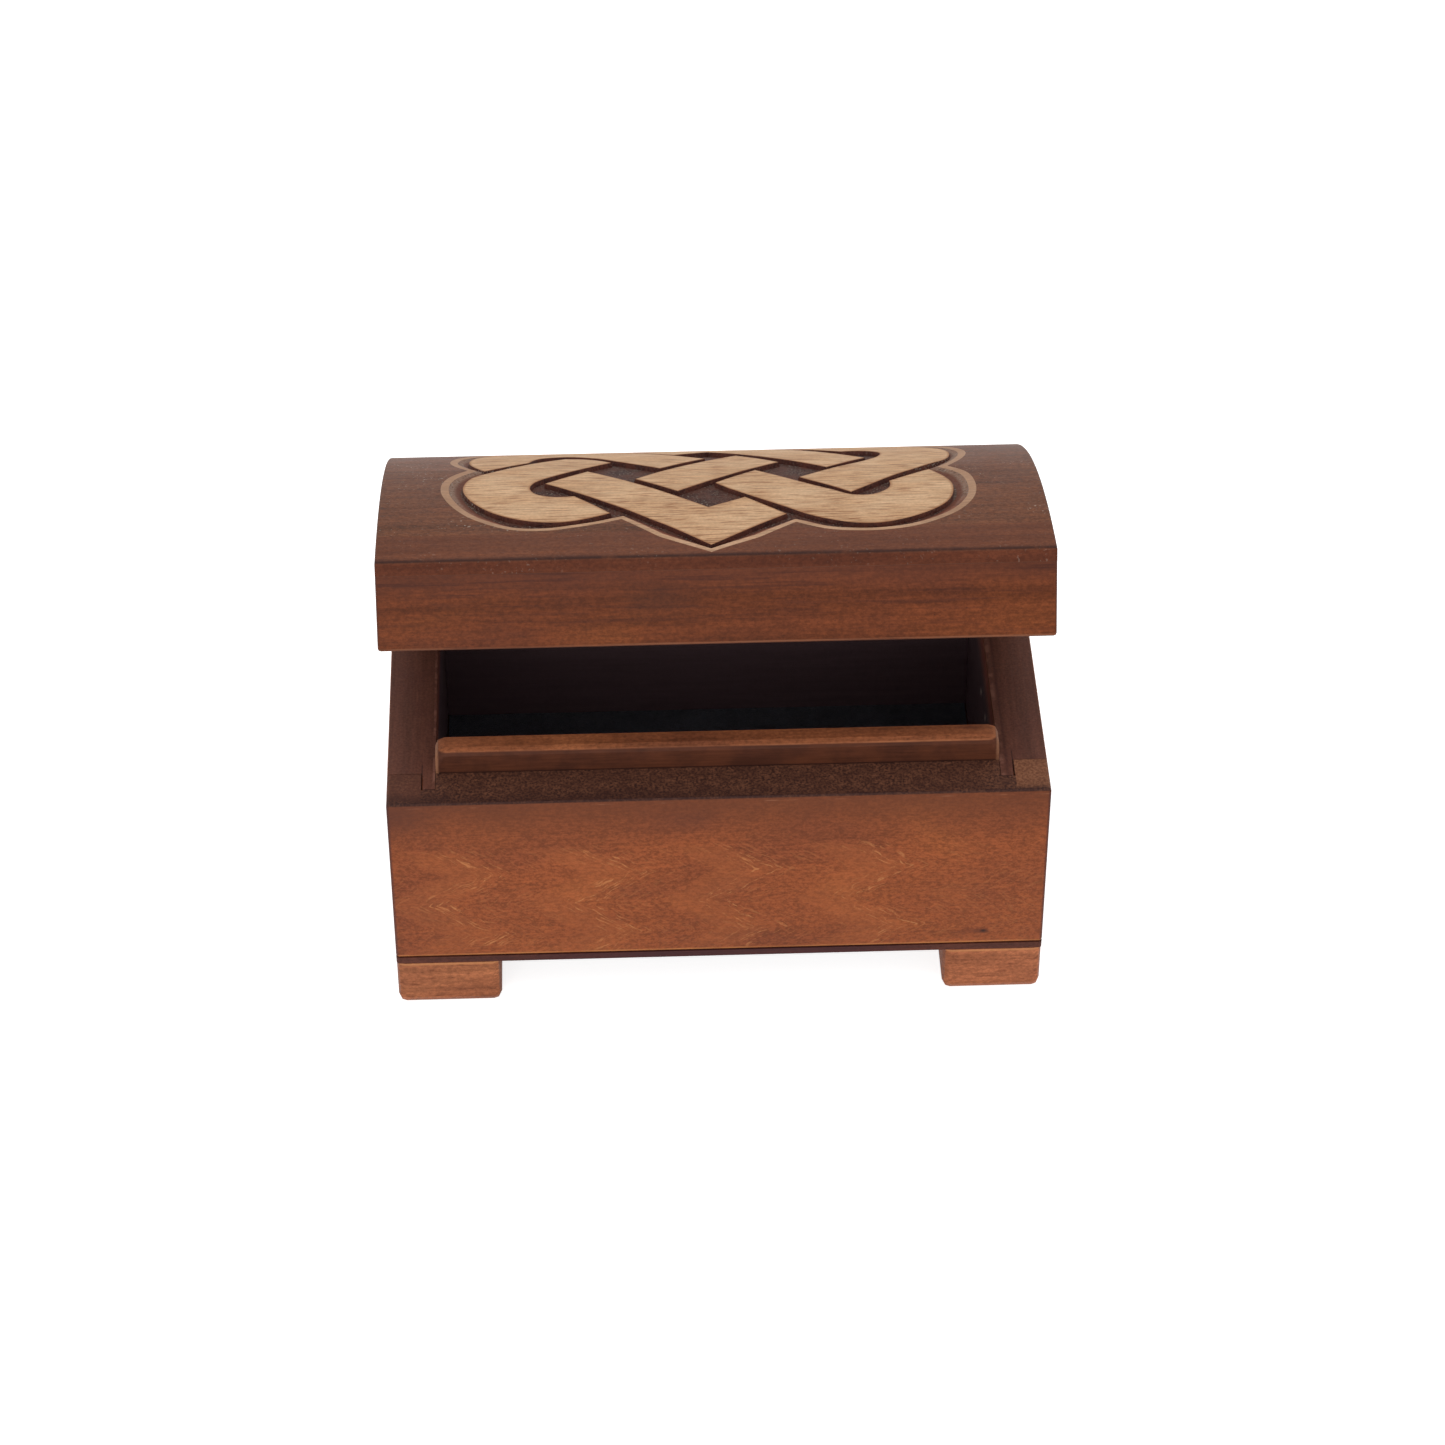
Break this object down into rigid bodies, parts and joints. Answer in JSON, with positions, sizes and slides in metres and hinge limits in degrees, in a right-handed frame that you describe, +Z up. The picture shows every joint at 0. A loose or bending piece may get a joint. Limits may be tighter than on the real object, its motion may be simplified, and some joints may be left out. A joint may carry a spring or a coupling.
{
  "type": "wooden jewelry box",
  "caption": "Small wooden keepsake box: tongued walls on a thin bottom and block feet, locating strip, felt floor, and a domed carved lid on two butt hinges.",
  "frame": {"origin": "on the surface that the feet stand on, under the middle of the whole box as it stands with its lid part open", "axes": "+X to the right along the box's width, +Y from the front to the hinges at the back, +Z up"},
  "size_m": [0.13, 0.0909, 0.1028],
  "materials": {
    "wall_wood": "red-brown stain under thin satin wax",
    "strip_wood": "orange-brown stain, satin",
    "bottom_wood": "dark stain, matte",
    "foot_wood": "red-brown stain, satin",
    "lid_frame_wood": "red-brown stain, satin",
    "dome_wood": "dark brown stain, satin",
    "bare_wood": "pale unstained wood, matte",
    "felt": "blue-black felt",
    "hinge_brass": "dull brass",
    "hinge_steel": "plain steel"
  },
  "bodies": {
    "box_body": {"front_board": "wall_wood", "back_board": "wall_wood", "left_board": "wall_wood", "right_board": "wall_wood", "bottom_panel": "bottom_wood", "floor_lining": "felt", "front_left_foot": "foot_wood", "front_right_foot": "foot_wood", "back_left_foot": "foot_wood", "back_right_foot": "foot_wood", "locating_strip": "strip_wood", "left_hinge_body_leaf": "hinge_brass", "right_hinge_body_leaf": "hinge_brass", "left_hinge_pin": "hinge_steel", "right_hinge_pin": "hinge_steel", "left_hinge_body_left_screw": "hinge_steel", "left_hinge_body_right_screw": "hinge_steel", "right_hinge_body_left_screw": "hinge_steel", "right_hinge_body_right_screw": "hinge_steel"},
    "lid": {"lid_front_board": "lid_frame_wood", "lid_back_board": "lid_frame_wood", "lid_left_board": "lid_frame_wood", "lid_right_board": "lid_frame_wood", "lid_domed_panel": "dome_wood", "left_hinge_lid_leaf": "hinge_brass", "right_hinge_lid_leaf": "hinge_brass", "left_hinge_lid_left_screw": "hinge_steel", "left_hinge_lid_right_screw": "hinge_steel", "right_hinge_lid_left_screw": "hinge_steel", "right_hinge_lid_right_screw": "hinge_steel"}
  },
  "joints": [
    {"name": "lid_hinge", "type": "hinge", "parent": "box_body", "child": "lid", "pos_m": [0, 0.03752, 0.05355], "axis": [-1, 0, 0], "range_deg": [-23.4, 76.6]}
  ]
}
